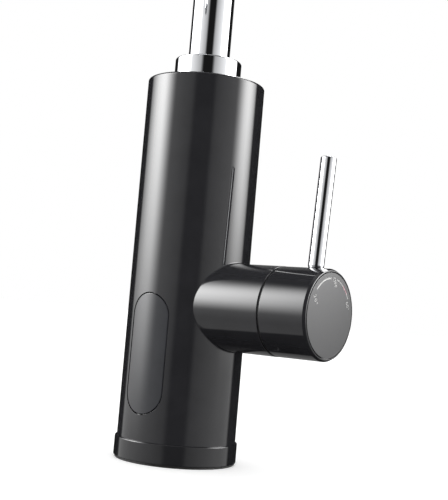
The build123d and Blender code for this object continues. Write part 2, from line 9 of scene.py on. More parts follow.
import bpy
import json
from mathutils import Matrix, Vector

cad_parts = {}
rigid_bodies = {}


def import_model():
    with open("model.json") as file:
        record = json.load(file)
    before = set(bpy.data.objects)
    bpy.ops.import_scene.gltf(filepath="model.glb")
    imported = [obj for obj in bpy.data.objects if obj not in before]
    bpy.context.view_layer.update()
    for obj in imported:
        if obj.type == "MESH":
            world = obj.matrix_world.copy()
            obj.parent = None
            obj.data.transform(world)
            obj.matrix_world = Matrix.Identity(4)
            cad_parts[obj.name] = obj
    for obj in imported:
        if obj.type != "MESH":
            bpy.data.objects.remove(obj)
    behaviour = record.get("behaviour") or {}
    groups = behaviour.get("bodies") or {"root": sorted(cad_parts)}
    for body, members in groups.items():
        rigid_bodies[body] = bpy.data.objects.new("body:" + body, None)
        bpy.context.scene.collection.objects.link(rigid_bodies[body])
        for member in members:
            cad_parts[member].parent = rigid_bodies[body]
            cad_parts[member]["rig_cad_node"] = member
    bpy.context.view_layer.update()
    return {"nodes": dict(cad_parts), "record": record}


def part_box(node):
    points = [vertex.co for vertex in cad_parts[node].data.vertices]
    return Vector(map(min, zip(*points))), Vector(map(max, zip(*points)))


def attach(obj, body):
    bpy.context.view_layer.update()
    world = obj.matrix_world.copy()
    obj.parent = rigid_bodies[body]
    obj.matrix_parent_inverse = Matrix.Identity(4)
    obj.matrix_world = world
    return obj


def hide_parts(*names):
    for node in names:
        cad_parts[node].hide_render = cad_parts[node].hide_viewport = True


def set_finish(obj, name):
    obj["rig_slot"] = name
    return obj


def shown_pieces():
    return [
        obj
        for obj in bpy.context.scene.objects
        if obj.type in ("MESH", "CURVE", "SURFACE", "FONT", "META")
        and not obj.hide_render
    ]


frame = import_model()
nodes = frame["nodes"]

# %% [markdown]
# ## Sizes
#
# The frame's nodes give the main places: a node's box tells how high, how wide and how long
# it is. What a box can't tell, such as the rounding of an edge, is named in millimetres where it
# is first needed. Neighbouring pieces share their sizes, so that a rim and the disc that sits
# in it can't drift apart.

# %% Sizes read from the frame
from math import acos, ceil, cos, degrees, pi, radians, sin, tan

import bmesh
import bpy
import numpy as np
from mathutils import Matrix, Vector
from mathutils.geometry import delaunay_2d_cdt

mm = 0.001
shell_low, shell_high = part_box("body_shell")
ring_low, ring_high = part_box("base_ring")
gasket_low, gasket_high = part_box("base_gasket")
knob_low, knob_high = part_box("knob")
dial_low, dial_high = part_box("knob_dial")
bush_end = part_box("handle_bush")[1].x
collar_low, collar_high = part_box("collar")
outlet_low, outlet_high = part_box("aerator_housing")

body_r = shell_high.y
axis_z = (dial_low.z + dial_high.z) / 2
dial_r = (dial_high.z - dial_low.z) / 2
knob_r = 21.65 * mm
handle_rest = 4.2
lever_x = 73.6 * mm
print(f"tower {2000 * body_r:.1f} mm across, handle axis {1000 * axis_z:.1f} mm up")

# %% [markdown]
# ## A surface with true normals
#
# Gloss lacquer and chrome show every wrong normal as a kink in a reflection. Blender can guess
# normals by averaging neighbouring faces, but next to a small rounded edge that guess bends the
# flat face too. Here each face brings the exact normal of the shape at its corners, and the
# faces are welded into one closed mesh that keeps them.

# %% Skin, a mesh with exact normals
weld = 1e-7


def unit(v):
    """Vectors along the last axis, made one long."""
    v = np.asarray(v, float)
    return v / np.maximum(np.linalg.norm(v, axis=-1, keepdims=True), 1e-12)


def add_object(name, data):
    """A new object in the scene, at the origin."""
    made = bpy.data.objects.new(name, data)
    bpy.context.scene.collection.objects.link(made)
    return made


class Skin:
    """Faces with the shape's own normal at each corner, welded into one closed mesh."""

    def __init__(self):
        self.corners = []
        self.normals = []

    def faces(self, corners, normals):
        """Faces of alike corner counts, as arrays of face, corner and coordinate."""
        corners, normals = np.asarray(corners, float), np.asarray(normals, float)
        across = np.cross(corners[:, 1] - corners[:, 0], corners[:, 2] - corners[:, 0])
        if corners.shape[1] == 4:
            across += np.cross(corners[:, 2] - corners[:, 0], corners[:, 3] - corners[:, 0])
        inward = np.einsum("ij,ij->i", across, normals.sum(1)) < 0
        corners[inward] = corners[inward][:, ::-1]
        normals[inward] = normals[inward][:, ::-1]
        self.corners += list(corners)
        self.normals += list(normals)

    def strip(self, first, second, first_normals, second_normals):
        """Quads between two rings with as many points, closed round."""
        a, b = np.asarray(first, float), np.asarray(second, float)
        na = np.broadcast_to(first_normals, a.shape)
        nb = np.broadcast_to(second_normals, b.shape)
        quads = np.stack([a, np.roll(a, -1, 0), np.roll(b, -1, 0), b], 1)
        normals = np.stack([na, np.roll(na, -1, 0), np.roll(nb, -1, 0), nb], 1)
        self.faces(quads, normals)

    def object(self, name, place=Matrix.Identity(4)):
        """The welded mesh as an object, moved by the matrix place."""
        turn, shift = np.array(place)[:3, :3], np.array(place)[:3, 3]
        seen, points, polygons, normals = {}, [], [], []
        for corners, face_normals in zip(self.corners, self.normals):
            face, kept = [], []
            for corner, normal in zip(corners @ turn.T + shift, face_normals @ turn.T):
                key = tuple(np.round(corner / weld).astype(np.int64))
                if key not in seen:
                    seen[key] = len(points)
                    points.append(corner)
                if seen[key] not in face:
                    face.append(seen[key])
                    kept.append(normal)
            if len(face) > 2:
                polygons.append(face)
                normals += kept
        mesh = bpy.data.meshes.new(name)
        mesh.from_pydata([tuple(p) for p in points], [], polygons)
        mesh.shade_smooth()
        mesh.normals_split_custom_set([tuple(n) for n in unit(normals)])
        return add_object(name, mesh)


def check_closed(piece):
    """Stops the script if an edge of the piece doesn't have exactly two faces."""
    uses = np.zeros(len(piece.data.edges), int)
    loops = np.zeros(len(piece.data.loops), np.int32)
    piece.data.loops.foreach_get("edge_index", loops)
    np.add.at(uses, loops, 1)
    open_edges = int((uses != 2).sum())
    print(f"{piece.name}: {len(piece.data.polygons)} faces, {open_edges} open edges")
    if open_edges:
        raise ValueError(f"{piece.name} isn't closed")
    return piece


# %% [markdown]
# ## Turned shapes
#
# Most of the tap is turned: rings, knob, lever, collar and outlet. A lathe would cut each from
# an outline, so the script does too. An outline is a list of corners, each with a radius from
# the axis, a height along it and, where the real edge is broken, a rounding. The rounding is
# worked out as a true arc, so its highlight is as thin as on the real edge.

# %% Outlines and the lathe
arc_step = radians(12)


def crossed(a, b):
    """Cross product of two flat vectors."""
    return a[0] * b[1] - a[1] * b[0]


def swung(first, second, share, angle):
    """A spoke part of the way from one spoke of a circle to another, which stand angle apart."""
    nearer = np.sin((1 - share) * angle) / np.sin(angle)
    further = np.sin(share * angle) / np.sin(angle)
    return nearer * first + further * second


def rounded(corners):
    """Closed outline as segments of (start, end, start normal, end normal), facing outwards."""
    points = [np.array(c[:2], float) for c in corners]
    fillets = [c[2] if len(c) > 2 else 0.0 for c in corners]
    area = sum(crossed(points[k - 1], points[k]) for k in range(len(points)))
    side = 1 if area > 0 else -1

    def outward(direction):
        return side * np.array([direction[1], -direction[0]])

    stops, arcs = [], []
    for k, point in enumerate(points):
        into = unit(point - points[k - 1])
        out = unit(points[(k + 1) % len(points)] - point)
        turn = acos(max(-1.0, min(1.0, float(into @ out))))
        reach = fillets[k] * tan(turn / 2)
        start, end = point - into * reach, point + out * reach
        stops.append((start, end))
        arc = []
        if fillets[k]:
            bend = 1 if crossed(into, out) > 0 else -1
            centre = start + bend * fillets[k] * np.array([-into[1], into[0]])
            count = max(2, ceil(turn / arc_step))
            spokes = [swung(start - centre, end - centre, n / count, turn) for n in range(count + 1)]
            facing = 1 if spokes[0] @ outward(into) > 0 else -1
            places = [centre + spoke for spoke in spokes]
            normals = [facing * unit(spoke) for spoke in spokes]
            arc = [(places[n], places[n + 1], normals[n], normals[n + 1]) for n in range(count)]
        arcs.append(arc)
    segments = []
    for k in range(len(points)):
        segments += arcs[k]
        start, end = stops[k][1], stops[(k + 1) % len(points)][0]
        length = np.linalg.norm(end - start)
        if length > 10 * weld:
            normal = outward((end - start) / length)
            segments.append((start, end, normal, normal))
    return segments


def circle(count, start=0.0):
    """Cosines and sines round a circle, as two columns."""
    turn = start + 2 * pi * np.arange(count) / count
    return np.stack([np.cos(turn), np.sin(turn)], 1)


def lathe(skin, corners, count, open_walls=()):
    """Turns an outline of (radius, height, rounding) about Z. The long upright walls at the radii
    in open_walls are left out, and their (low, high) heights come back in the same order."""
    spokes = circle(count)
    gaps = {}
    for start, end, start_normal, end_normal in rounded(corners):
        if max(start[0], end[0]) < 10 * weld:
            continue
        wall = [r for r in open_walls if abs(start[0] - r) + abs(end[0] - r) < 10 * weld]
        if wall and abs(end[1] - start[1]) > 2 * mm:
            gaps[wall[0]] = sorted((start[1], end[1]))
            continue
        rings = [np.column_stack([spokes * p[0], np.full(count, p[1])]) for p in (start, end)]
        facings = [np.column_stack([spokes * n[0], np.full(count, n[1])])
                   for n in (start_normal, end_normal)]
        skin.strip(*rings, *facings)
    return [gaps[r] for r in open_walls]


def turned(name, corners, count=192, place=Matrix.Identity(4)):
    """A closed piece turned from one outline."""
    skin = Skin()
    lathe(skin, corners, count)
    return check_closed(skin.object(name, place))


handle_axis = Matrix(((0, 0, 1, 0), (0, -1, 0, 0), (1, 0, 0, axis_z), (0, 0, 0, 1)))
to_rest = (Matrix.Translation((0, 0, axis_z)) @ Matrix.Rotation(radians(-handle_rest), 4, "X")
           @ Matrix.Translation((0, 0, -axis_z)))
handle_place = to_rest @ handle_axis
outlet_middle = (outlet_low + outlet_high) / 2
outlet_place = Matrix.Translation((outlet_middle.x, outlet_middle.y, 0))

# %% [markdown]
# ## A wall wrapped from a flat sheet
#
# The tower is a tube with two openings: the handle's boss grows out of its side and an oval
# window is cut in its front. A boolean cut would leave long thin faces round both. Instead the
# tube is unrolled into a flat sheet, the openings are drawn on it as closed loops, the sheet is
# filled with triangles and rolled up again. The knob's side, with the hole where the lever
# stands, is made in the same way.

# %% Openings and wrapped sheets
class Bore:
    """Round opening that comes in along +X at some height, as wide at the wall as width says."""

    def __init__(self, half_width, half_height, height):
        self.size = (half_width, half_height)
        self.height = height

    def outline(self, radius, count):
        """Loop of points on a wall of that radius."""
        spokes = circle(count)
        y = self.size[0] * spokes[:, 1]
        z = self.height + self.size[1] * spokes[:, 0]
        return np.column_stack([np.sqrt(radius ** 2 - y ** 2), y, z])

    def holds(self, points, margin=0.0):
        """Which points lie in the opening, made larger by margin."""
        across = points[:, 1] / (self.size[0] + margin)
        along = (points[:, 2] - self.height) / (self.size[1] + margin)
        return (points[:, 0] > 0) & (across ** 2 + along ** 2 < 1)


class Oval:
    """Upright opening with round ends that comes in from the front, seen square from there."""

    def __init__(self, half_width, half_height, height):
        self.size = (half_width, half_height)
        self.height = height

    def flat(self, count):
        """(x, z) points round the oval, and the directions that point away from it."""
        width, straight = self.size[0], self.size[1] - self.size[0]
        away = circle(count, pi / count)
        ends = np.where(away[:, 1] >= 0, self.height + straight, self.height - straight)
        points = np.column_stack([width * away[:, 0], ends + width * away[:, 1]])
        return points, away

    def outline(self, radius, count):
        """Loop of points on a wall of that radius."""
        points, _ = self.flat(count)
        x, z = points.T
        return np.column_stack([x, -np.sqrt(radius ** 2 - x ** 2), z])

    def holds(self, points, margin=0.0):
        """Which points lie in the opening, made larger by margin."""
        straight = self.size[1] - self.size[0]
        off = points[:, 2] - self.height
        off = off - np.clip(off, -straight, straight)
        reach = np.hypot(points[:, 0], off)
        return (points[:, 1] < 0) & (reach < self.size[0] + margin)


def wrapped(skin, radius, loops, grid, keep, facing=1):
    """Fills closed loops on a wall of that radius, with the grid's points between them."""
    points, edges = [], []
    for loop in loops:
        first = len(points)
        points += [tuple(p) for p in loop]
        edges += [(first + k, first + (k + 1) % len(loop)) for k in range(len(loop))]
    points = np.array(points + [tuple(p) for p in grid])
    flat = [Vector((radius * turn / mm, z / mm)) for turn, z in points]
    made = delaunay_2d_cdt(flat, edges, [], 0, 1e-6)
    origin = [ids[0] for ids in made[3]]
    triangles = np.array([[origin[v] for v in face] for face in made[2]])
    placed = rolled(points, radius)
    triangles = triangles[keep(placed[triangles].mean(1))]
    out = facing * unit(placed * (1, 1, 0))
    skin.faces(placed[triangles], out[triangles])


def rolled(points, radius):
    """(turn, height) points on a wall of that radius."""
    turn = points[:, 0]
    return np.column_stack([radius * np.cos(turn), radius * np.sin(turn), points[:, 1]])


def unrolled(points):
    """(turn, height) of points on a wall."""
    return np.column_stack([np.arctan2(points[:, 1], points[:, 0]), points[:, 2]])


def pierced_wall(skin, radius, low, high, count, openings, facing=1, rise=3 * mm):
    """Whole wall about Z between two heights, with openings. Its two ends weld to lathe rings."""
    turns = -pi + 2 * pi * np.arange(count + 1) / count
    heights = np.linspace(low, high, ceil((high - low) / rise) + 1)
    bottom, top = np.full(count + 1, low), np.full(count + 1, high)
    sides = heights[1:-1]
    border = np.vstack([
        np.column_stack([turns, bottom]),
        np.column_stack([np.full(len(sides), turns[-1]), sides]),
        np.column_stack([turns[::-1], top]),
        np.column_stack([np.full(len(sides), turns[0]), sides[::-1]]),
    ])
    inner = np.array([(turn, z) for turn in turns[1:-1] for z in sides])
    clear = np.ones(len(inner), bool)
    for opening in openings:
        clear &= ~opening.holds(rolled(inner, radius), 0.5 * mm)
    loops = [border] + [unrolled(o.outline(radius, count)) for o in openings]
    wrapped(skin, radius, loops, inner[clear],
            lambda middles: ~np.any([o.holds(middles) for o in openings], 0), facing)


def easing(steps):
    """Angles of a quarter turn, from lying on the surface to standing on the wall below it."""
    return [radians(90 * n / steps) for n in range(steps + 1)]


# %% [markdown]
# ## Nodes written as Python
#
# Materials and Geometry Nodes are trees of small steps. Adding each by hand hides the idea, so
# one small class wraps a socket and lets Python's own operators add the Math nodes, and one
# method adds every other node from its type, its settings and its inputs.

# %% Wire and Tree
class Wire:
    """An output socket that arithmetic can be done on."""

    def __init__(self, tree, socket):
        self.tree, self.socket = tree, socket

    def math(self, operation, *others):
        return self.tree.node("ShaderNodeMath", {"operation": operation}, self, *others)

    def __add__(self, other):
        return self.math("ADD", other)

    def __sub__(self, other):
        return self.math("SUBTRACT", other)

    def __mul__(self, other):
        return self.math("MULTIPLY", other)

    def __rsub__(self, other):
        return self.tree.node("ShaderNodeMath", {"operation": "SUBTRACT"}, other, self)


def key_of(name):
    """A socket's name as a Python keyword."""
    return name.replace(" ", "_").lower()


class Tree:
    """A node tree that nodes are added to by type, settings and inputs."""

    def __init__(self, tree):
        self.tree = tree

    def node(self, kind, settings=None, *inputs, out=0, **named):
        """Adds a node. Settings come first, because they can change its sockets. Inputs are
        values or wires, in the order of the node's enabled sockets or by name."""
        made = self.tree.nodes.new(kind)
        for setting, value in (settings or {}).items():
            if setting == "stops":
                self.fill_ramp(made.color_ramp, value)
            else:
                setattr(made, setting, value)
        sockets = [s for s in made.inputs if s.enabled]
        pairs = list(zip(sockets, inputs))
        pairs += [(next(s for s in sockets if key_of(s.name) == name), value)
                  for name, value in named.items()]
        for socket, value in pairs:
            if isinstance(value, Wire):
                self.tree.links.new(value.socket, socket)
            elif value is not None:
                socket.default_value = value
        outputs = [s for s in made.outputs if s.enabled]
        return Wire(self, outputs[out]) if outputs else made

    @staticmethod
    def fill_ramp(ramp, stops):
        """Sets a colour ramp's stops from (place, colour) pairs."""
        while len(ramp.elements) < len(stops):
            ramp.elements.new(1.0)
        for element, (place, colour) in zip(ramp.elements, stops):
            element.position, element.color = place, colour


def grey(level):
    """A neutral colour."""
    return (level, level, level, 1.0)


def smooth(value, start, end):
    """Nought to one between two values."""
    kind = {"interpolation_type": "SMOOTHSTEP"}
    return value.tree.node("ShaderNodeMapRange", kind, value, start, end, 0.0, 1.0)


def swell(value, up, down):
    """One between two soft edges, nought outside them."""
    return smooth(value, *up) * (1.0 - smooth(value, *down))


# %% [markdown]
# ## The tower and its boss
#
# The column and the boss are one lacquered shell, open below, with a hole in the roof for the
# spout's connector. The seam between the two round bodies has a small hollow radius, because
# paint and polishing never leave a knife-sharp inner corner. A ball of that radius rolled along
# the seam touches both bodies: its two contact lines bound the radius, and its centre line gives
# every normal between them.

# %% Tower
tower_steps = 240
wall = 2.0 * mm
roof = 2.5 * mm
roof_hole_r = 12.5 * mm
top_edge = 1.3 * mm
boss_r = 21.75 * mm
boss_bore = 20.0 * mm
bush_flange = 0.7 * mm
boss_end = bush_end - bush_flange
seam = 0.7 * mm
mouth_edge = 0.25 * mm
window_edge = 0.03 * mm
window_z = 53.25 * mm
window_half_w = 11.1 * mm
window_half_h = 29.65 * mm
window_gap = 0.24 * mm


def boss_ring(x, radius, count=tower_steps):
    """Points round the boss at a distance along it, and their directions away from its axis."""
    spokes = circle(count)
    away = np.column_stack([np.zeros(count), spokes[:, 1], spokes[:, 0]])
    return radius * away + (x, 0, axis_z), away


def seam_rings(steps=8):
    """Rings of the hollow radius between tower and boss, from the tower to the boss."""
    spokes = circle(tower_steps)
    y = (boss_r + seam) * spokes[:, 1]
    z = (boss_r + seam) * spokes[:, 0]
    ball = np.column_stack([np.sqrt((body_r + seam) ** 2 - y ** 2), y, axis_z + z])
    to_tower = -unit(ball * (1, 1, 0))
    to_boss = -np.column_stack([np.zeros(tower_steps), spokes[:, 1], spokes[:, 0]])
    angle = np.arccos(np.clip((to_tower * to_boss).sum(1), -1, 1))[:, None]
    rings = []
    for n in range(steps + 1):
        spoke = swung(to_tower, to_boss, n / steps, angle)
        rings.append((ball + seam * spoke, -spoke))
    return rings


def oval_lip(oval_size, radius, edge, outward, steps=4):
    """Rings of a small rounded edge round the window, from the surface down to the wall."""
    rings = []
    for turn in easing(steps):
        grow = outward * edge * (1 - sin(turn))
        oval = Oval(oval_size[0] + grow, oval_size[1] + grow, window_z)
        flat, away = oval.flat(tower_steps)
        ring = oval.outline(radius, tower_steps)
        out = unit(ring * (1, 1, 0))
        side = -outward * np.column_stack([away[:, 0], np.zeros(tower_steps), away[:, 1]])
        depth = edge * (1 - cos(turn))
        rings.append((ring + (0, depth, 0), cos(turn) * out + sin(turn) * side))
    return rings


def stitch(skin, rings):
    """Strips between rings that each bring their own normals."""
    for (first, first_normals), (second, second_normals) in zip(rings, rings[1:]):
        skin.strip(first, second, first_normals, second_normals)


def tower():
    skin = Skin()
    inner_r = body_r - wall
    corners = [
        (body_r, shell_low.z), (body_r, shell_high.z, top_edge), (roof_hole_r, shell_high.z),
        (roof_hole_r, shell_high.z - roof), (inner_r, shell_high.z - roof), (inner_r, shell_low.z),
    ]
    outside, inside = lathe(skin, corners, tower_steps, (body_r, inner_r))
    opening = (window_half_w + window_gap, window_half_h + window_gap)
    seam_hole = Bore(body_r / (body_r + seam) * (boss_r + seam), boss_r + seam, axis_z)
    lip_hole = Oval(opening[0] + window_edge, opening[1] + window_edge, window_z)
    pierced_wall(skin, body_r, *outside, tower_steps, (seam_hole, lip_hole))
    bore, hole = Bore(boss_bore, boss_bore, axis_z), Oval(*opening, window_z)
    pierced_wall(skin, inner_r, *inside, tower_steps, (bore, hole), facing=-1)
    lip = oval_lip(opening, body_r, window_edge, 1)
    stitch(skin, lip + [(hole.outline(inner_r, tower_steps), lip[-1][1])])
    rings = seam_rings()
    _, away = boss_ring(0, boss_r)
    for turn in easing(6):
        x = boss_end - mouth_edge * (1 - sin(turn))
        ring, _ = boss_ring(x, boss_r - mouth_edge * (1 - cos(turn)))
        rings.append((ring, cos(turn) * away + (sin(turn), 0, 0)))
    stitch(skin, rings)
    face, _ = boss_ring(boss_end, boss_bore)
    skin.strip(rings[-1][0], face, (1, 0, 0), (1, 0, 0))
    skin.strip(face, bore.outline(inner_r, tower_steps), -away, -away)
    return check_closed(skin.object("tower_shell"))


def settle(piece, body, slot, *replaced):
    """Puts a finished piece on its body, in place of CAD nodes."""
    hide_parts(*replaced)
    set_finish(piece, slot)
    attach(piece, body)
    return piece


settle(tower(), "body", "black_lacquer", "body_shell")

# %% [markdown]
# ## Display window
#
# A smoked cover fills the oval, a hair below the tower's surface, so that only a fine dark line
# and a glint on its broken edge show where it is. Behind the wall it has a wider flange that a
# seal presses against. It is wrapped from the same sheet as the tower, with the oval's inside
# kept instead of its outside.

# %% Window cover
window_sink = 0.1 * mm
cover_edge = 0.3 * mm
flange_r = 27.3 * mm
flange_inner_r = 26.0 * mm
flange_lap = 2.0 * mm


def oval_sheet(skin, oval, radius, facing):
    """The part of a wall that lies in the oval."""
    reach = oval.size[0] / radius + 0.1
    turns = np.arange(-pi / 2 - reach, -pi / 2 + reach, 0.9 * mm / radius)
    heights = np.arange(window_z - oval.size[1], window_z + oval.size[1], 2 * mm)
    grid = np.array([(turn, z) for turn in turns for z in heights])
    inside = grid[oval.holds(rolled(grid, radius), -0.4 * mm)]
    wrapped(skin, radius, [unrolled(oval.outline(radius, tower_steps))], inside, oval.holds, facing)


def window_cover():
    skin = Skin()
    size = (window_half_w - window_gap, window_half_h - window_gap)
    small = Oval(*size, window_z)
    wide = Oval(window_half_w + flange_lap, window_half_h + flange_lap, window_z)
    face_r = body_r - window_sink
    lip = oval_lip(size, face_r, cover_edge, -1)
    oval_sheet(skin, Oval(size[0] - cover_edge, size[1] - cover_edge, window_z), face_r, 1)
    side = lip[-1][1]
    foot = small.outline(flange_r, tower_steps)
    stitch(skin, lip + [(foot, side)])
    brim = wide.outline(flange_r, tower_steps)
    skin.strip(foot, brim, unit(foot * (1, 1, 0)), unit(brim * (1, 1, 0)))
    skin.strip(brim, wide.outline(flange_inner_r, tower_steps), side, side)
    oval_sheet(skin, wide, flange_inner_r, -1)
    return check_closed(skin.object("window_cover"))


settle(window_cover(), "body", "smoked_acrylic", "display_window")

# %% [markdown]
# ## Base ring and gasket
#
# A gloss plastic ring closes the foot of the tower. It stands a millimetre proud and its top
# edge is broken, which draws the thin bright line round the foot. Under it a rubber gasket
# keeps water off the worktop. Both are turned.

# %% Base
ring_r = ring_high.y
ring_edge = 0.65 * mm
ring_step = shell_low.z
ledge_r = 25.0 * mm
hairline = 0.04 * mm
base_band = turned("base_band", [
    (ledge_r, ring_low.z), (ring_r, ring_low.z, 0.25 * mm), (ring_r, ring_high.z, ring_edge),
    (body_r + hairline, ring_high.z, 0.15 * mm), (body_r + hairline, ring_step), (ledge_r, ring_step),
], tower_steps)
settle(base_band, "body", "black_gloss_plastic", "base_ring")

gasket_hole_r = 22.0 * mm
gasket = turned("foot_gasket", [
    (gasket_hole_r, gasket_low.z, 0.2 * mm), (gasket_high.y, gasket_low.z, 0.35 * mm),
    (gasket_high.y, gasket_high.z, 0.2 * mm), (gasket_hole_r, gasket_high.z, 0.2 * mm),
])
settle(gasket, "body", "black_rubber", "base_gasket")

# %% [markdown]
# ## Knob
#
# The knob is a lacquered cup as wide as the boss, with a fine groove between the two. Its open
# end has a rim that slopes back from the dial, so it reflects the dark part of the room and
# frames the dial in black. Near that end a shallow socket takes the lever. The cup is turned,
# but its side is a wrapped sheet, because the socket is cut through it.

# %% Knob
knob_steps = 240
groove_edge = 0.6 * mm
rim_slope = 0.07 * mm
rim_bevel = 0.75 * mm
rim_depth = 1.4 * mm
rim_x = dial_high.x - 0.25 * mm
dial_gap = 0.45 * mm
knob_wall = 2.4 * mm
web_x = 62.0 * mm
hub_r = 8.0 * mm
hub_x = 76.0 * mm
tail_r = 10.9 * mm
lever_r = 3.85 * mm
socket_r = lever_r + 0.35 * mm
socket_edge = 0.3 * mm
lever_foot = 20.7 * mm
knob_length = 26.1 * mm
knob_start = knob_high.x - knob_length


def socket_rings(steps=5):
    """Rings of the lever socket's rounded mouth, from the knob's side down to the socket's wall."""
    spokes = circle(knob_steps)
    inward = -np.column_stack([np.zeros(knob_steps), spokes[:, 1], spokes[:, 0]])
    rings = []
    for turn in easing(steps):
        radius = socket_r + socket_edge * (1 - sin(turn))
        ring = Bore(radius, radius, lever_x).outline(knob_r, knob_steps)
        out = unit(ring * (1, 1, 0))
        sunk = ring - (socket_edge * (1 - cos(turn)), 0, 0)
        rings.append((sunk, cos(turn) * out + sin(turn) * inward))
    floor = np.column_stack([np.full(knob_steps, lever_foot), rings[-1][0][:, 1:]])
    return rings + [(floor, inward)]


def knob_cup():
    skin = Skin()
    rim_r = dial_r + dial_gap
    corners = [
        (0, knob_low.x), (tail_r, knob_low.x, 0.2 * mm), (tail_r, knob_start),
        (knob_r, knob_start, groove_edge), (knob_r, rim_x - rim_depth, 0.2 * mm),
        (knob_r - rim_bevel, rim_x - rim_slope, 0.15 * mm), (rim_r, rim_x, 0.12 * mm),
        (rim_r, dial_low.x), (knob_r - knob_wall, dial_low.x), (knob_r - knob_wall, web_x),
        (hub_r, web_x), (hub_r, hub_x), (0, hub_x),
    ]
    side, = lathe(skin, corners, knob_steps, (knob_r,))
    mouth = Bore(socket_r + socket_edge, socket_r + socket_edge, lever_x)
    pierced_wall(skin, knob_r, *side, knob_steps, (mouth,), rise=2 * mm)
    rings = socket_rings()
    stitch(skin, rings)
    floor = rings[-1][0]
    middle = np.broadcast_to((lever_foot, 0, lever_x), floor.shape)
    skin.strip(floor, middle, (1, 0, 0), (1, 0, 0))
    return check_closed(skin.object("knob_cup", handle_place))


settle(knob_cup(), "handle", "black_lacquer", "knob")

# %% [markdown]
# ## Lever
#
# The lever is a chromed rod screwed into the knob by a thinner shank. Its tip is softly rounded
# and its foot tapers into the socket, so a dark ring shows round it. It is turned about its own
# axis and then leaned with the knob to where the handle rests.

# %% Lever
lever_tip = 75.25 * mm
taper = 0.6 * mm
taper_height = 2.0 * mm
shank_r = 2.5 * mm
shank_low = 9.5 * mm
lever_place = to_rest @ Matrix.Translation((lever_x, 0, axis_z))
rod = turned("lever_rod", [
    (0, shank_low), (shank_r, shank_low), (shank_r, lever_foot),
    (lever_r - taper, lever_foot, 0.15 * mm), (lever_r, lever_foot + taper_height, 0.3 * mm),
    (lever_r, lever_tip, 0.75 * mm), (0, lever_tip),
], 128, lever_place)
settle(rod, "handle", "chrome", "lever")

# %% [markdown]
# ## Dial
#
# A satin disc closes the knob. It is turned with a face that is a hair higher in the middle:
# a dead flat face would reflect one spot of the room and show a single even tone, while a slight
# dome shades from one side to the other as real pressed discs do.

# %% Dial
dial_dome = 0.15 * mm
dome_shares = np.linspace(0.95, 0.05, 19)
dome = [(dial_r * k, dial_high.x - dial_dome * k * k) for k in dome_shares]
dial = turned("dial_disc", [
    (0, dial_low.x), (dial_r, dial_low.x), (dial_r, dial_high.x - dial_dome, 0.12 * mm), *dome,
    (0, dial_high.x),
], knob_steps, handle_axis)
settle(dial, "handle", "grey_satin_metal", "knob_dial")

# %% [markdown]
# The dial's face carries two printed arcs, a plain one on the cold side and one that turns red
# on the hot side. Print stands a few hundredths of a millimetre proud, so each mark is a very
# thin mesh of its own. The arcs follow a path, so Geometry Nodes sweep a flat section along an
# arc. One tree makes both from its named inputs, and the result is kept as a plain mesh.

# %% The arc tree
arc_points = 65
sharp_angle = radians(35)


def shape_tree(name, *sizes):
    """A geometry tree with an input for each named size, and the wires of its inputs."""
    group = bpy.data.node_groups.new(name, "GeometryNodeTree")
    group.interface.new_socket("Geometry", in_out="INPUT", socket_type="NodeSocketGeometry")
    for size in sizes:
        group.interface.new_socket(size, in_out="INPUT", socket_type="NodeSocketFloat")
    group.interface.new_socket("Material", in_out="INPUT", socket_type="NodeSocketMaterial")
    group.interface.new_socket("Geometry", in_out="OUTPUT", socket_type="NodeSocketGeometry")
    tree = Tree(group)
    source = group.nodes.new("NodeGroupInput")
    wires = {s.name: Wire(tree, s) for s in source.outputs if s.name}
    return tree, wires


def finish_tree(tree, geometry, material):
    """Ends a tree in real, dressed geometry."""
    real = tree.node("GeometryNodeRealizeInstances", None, geometry)
    dressed = tree.node("GeometryNodeSetMaterial", None, real, None, material)
    tree.node("NodeGroupOutput", None, dressed)
    return tree.tree


def plain_mesh(source):
    """The mesh that a curve, a text or modifiers make. The object they were on is removed."""
    bpy.context.view_layer.update()
    mesh = bpy.data.meshes.new_from_object(source.evaluated_get(bpy.context.evaluated_depsgraph_get()))
    bpy.data.objects.remove(source)
    return mesh


def grown(name, group, base, place=Matrix.Identity(4), wall=0.0, **values):
    """Runs a geometry tree on a base mesh or curve and keeps the result as a plain closed mesh.
    A skin with no thickness is given a wall on its inside."""
    source = add_object(name + "_source", base)
    modifier = source.modifiers.new("shape", "NODES")
    modifier.node_group = group
    for item in group.interface.items_tree:
        if item.in_out == "INPUT" and key_of(item.name) in values:
            modifier[item.identifier] = values[key_of(item.name)]
    if wall:
        shell = source.modifiers.new("wall", "SOLIDIFY")
        shell.thickness = wall
        shell.offset = -1
    mesh = plain_mesh(source)
    mesh.name = name
    mesh.transform(place)
    mesh.shade_smooth()
    mesh.set_sharp_from_angle(angle=sharp_angle)
    return check_closed(add_object(name, mesh))


def arc_tree():
    """Flat band along an arc about Z, as wide and thick as asked, from one angle over another."""
    tree, size = shape_tree("printed_arc", "Radius", "Start", "Sweep", "Width", "Thickness")
    arc = tree.node("GeometryNodeCurveArc", {"mode": "RADIUS"}, arc_points, size["Radius"],
                    size["Start"], size["Sweep"])
    section = tree.node("GeometryNodeCurvePrimitiveQuadrilateral", {"mode": "RECTANGLE"},
                        size["Width"], size["Thickness"])
    band = tree.node("GeometryNodeCurveToMesh", None, arc, section, fill_caps=True)
    return finish_tree(tree, band, size["Material"])


# %% The two arcs
mark_r = 17.28 * mm
mark_thickness = 0.04 * mm
dial_face = handle_place @ Matrix.Translation((0, 0, dial_high.x))
arc_sizes = {"cold_arc": (8.6, 53.3, 0.66 * mm), "hot_arc": (-56.4, -9.9, 0.5 * mm)}


def print_on_dial(made):
    """Lays a flat mark on the dial's slightly domed face."""
    for vertex in made.data.vertices:
        vertex.co.z -= dial_dome * (vertex.co.x ** 2 + vertex.co.y ** 2) / dial_r ** 2
    made.data.transform(dial_face)
    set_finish(made, "white_plastic")
    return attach(made, "handle")


